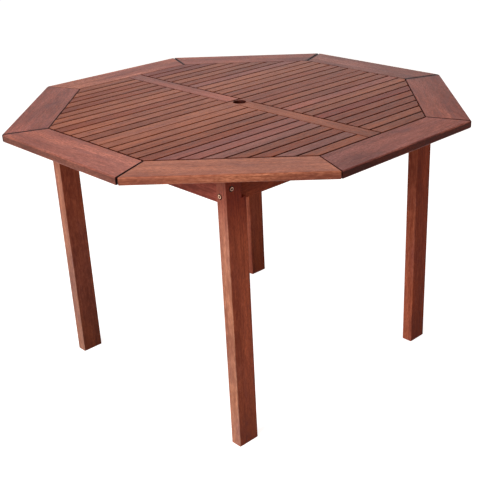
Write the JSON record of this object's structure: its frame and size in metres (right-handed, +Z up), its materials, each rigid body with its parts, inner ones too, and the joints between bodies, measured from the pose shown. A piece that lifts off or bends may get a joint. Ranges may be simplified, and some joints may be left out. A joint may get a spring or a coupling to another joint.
{
  "type": "umbrella table",
  "caption": "Octagonal hardwood garden table with a slatted top in a mitred rim, a central umbrella hole and square-set legs joined by aprons.",
  "frame": {"origin": "on the floor, under the middle of the umbrella hole, which is the centre of the eight-sided top", "axes": "+Z up, X along the slats and the centre board, Y along the crossbar"},
  "size_m": [1.15, 1.15, 0.74],
  "materials": {
    "top_wood": "oiled reddish-brown hardwood, satin",
    "frame_wood": "oiled reddish-brown hardwood, satin",
    "inner_wood": "unfinished hardwood",
    "bolt_brass": "brass-plated steel, slightly dulled"
  },
  "bodies": {
    "root": {"apron_east": "frame_wood", "apron_north": "frame_wood", "apron_south": "frame_wood", "apron_west": "frame_wood", "batten_east": "frame_wood", "batten_west": "frame_wood", "centre_board": "top_wood", "corner_block_ne": "frame_wood", "corner_block_nw": "frame_wood", "corner_block_se": "frame_wood", "corner_block_sw": "frame_wood", "crossbar_north": "top_wood", "crossbar_south": "top_wood", "end_bolts": "bolt_brass", "leg_ne": "frame_wood", "leg_nw": "frame_wood", "leg_se": "frame_wood", "leg_sw": "frame_wood", "mitre_keys": "inner_wood", "rim_board_e": "top_wood", "rim_board_n": "top_wood", "rim_board_ne": "top_wood", "rim_board_nw": "top_wood", "rim_board_s": "top_wood", "rim_board_se": "top_wood", "rim_board_sw": "top_wood", "rim_board_w": "top_wood", "side_bolts": "bolt_brass", "slat_row_n01": "top_wood", "slat_row_n02": "top_wood", "slat_row_n03": "top_wood", "slat_row_n04": "top_wood", "slat_row_n05": "top_wood", "slat_row_n06": "top_wood", "slat_row_n07": "top_wood", "slat_row_n08": "top_wood", "slat_row_n09": "top_wood", "slat_row_n10": "top_wood", "slat_row_n11": "top_wood", "slat_row_n12": "top_wood", "slat_row_s01": "top_wood", "slat_row_s02": "top_wood", "slat_row_s03": "top_wood", "slat_row_s04": "top_wood", "slat_row_s05": "top_wood", "slat_row_s06": "top_wood", "slat_row_s07": "top_wood", "slat_row_s08": "top_wood", "slat_row_s09": "top_wood", "slat_row_s10": "top_wood", "slat_row_s11": "top_wood", "slat_row_s12": "top_wood", "square_nuts": "bolt_brass", "umbrella_rail": "frame_wood"}
  },
  "joints": []
}
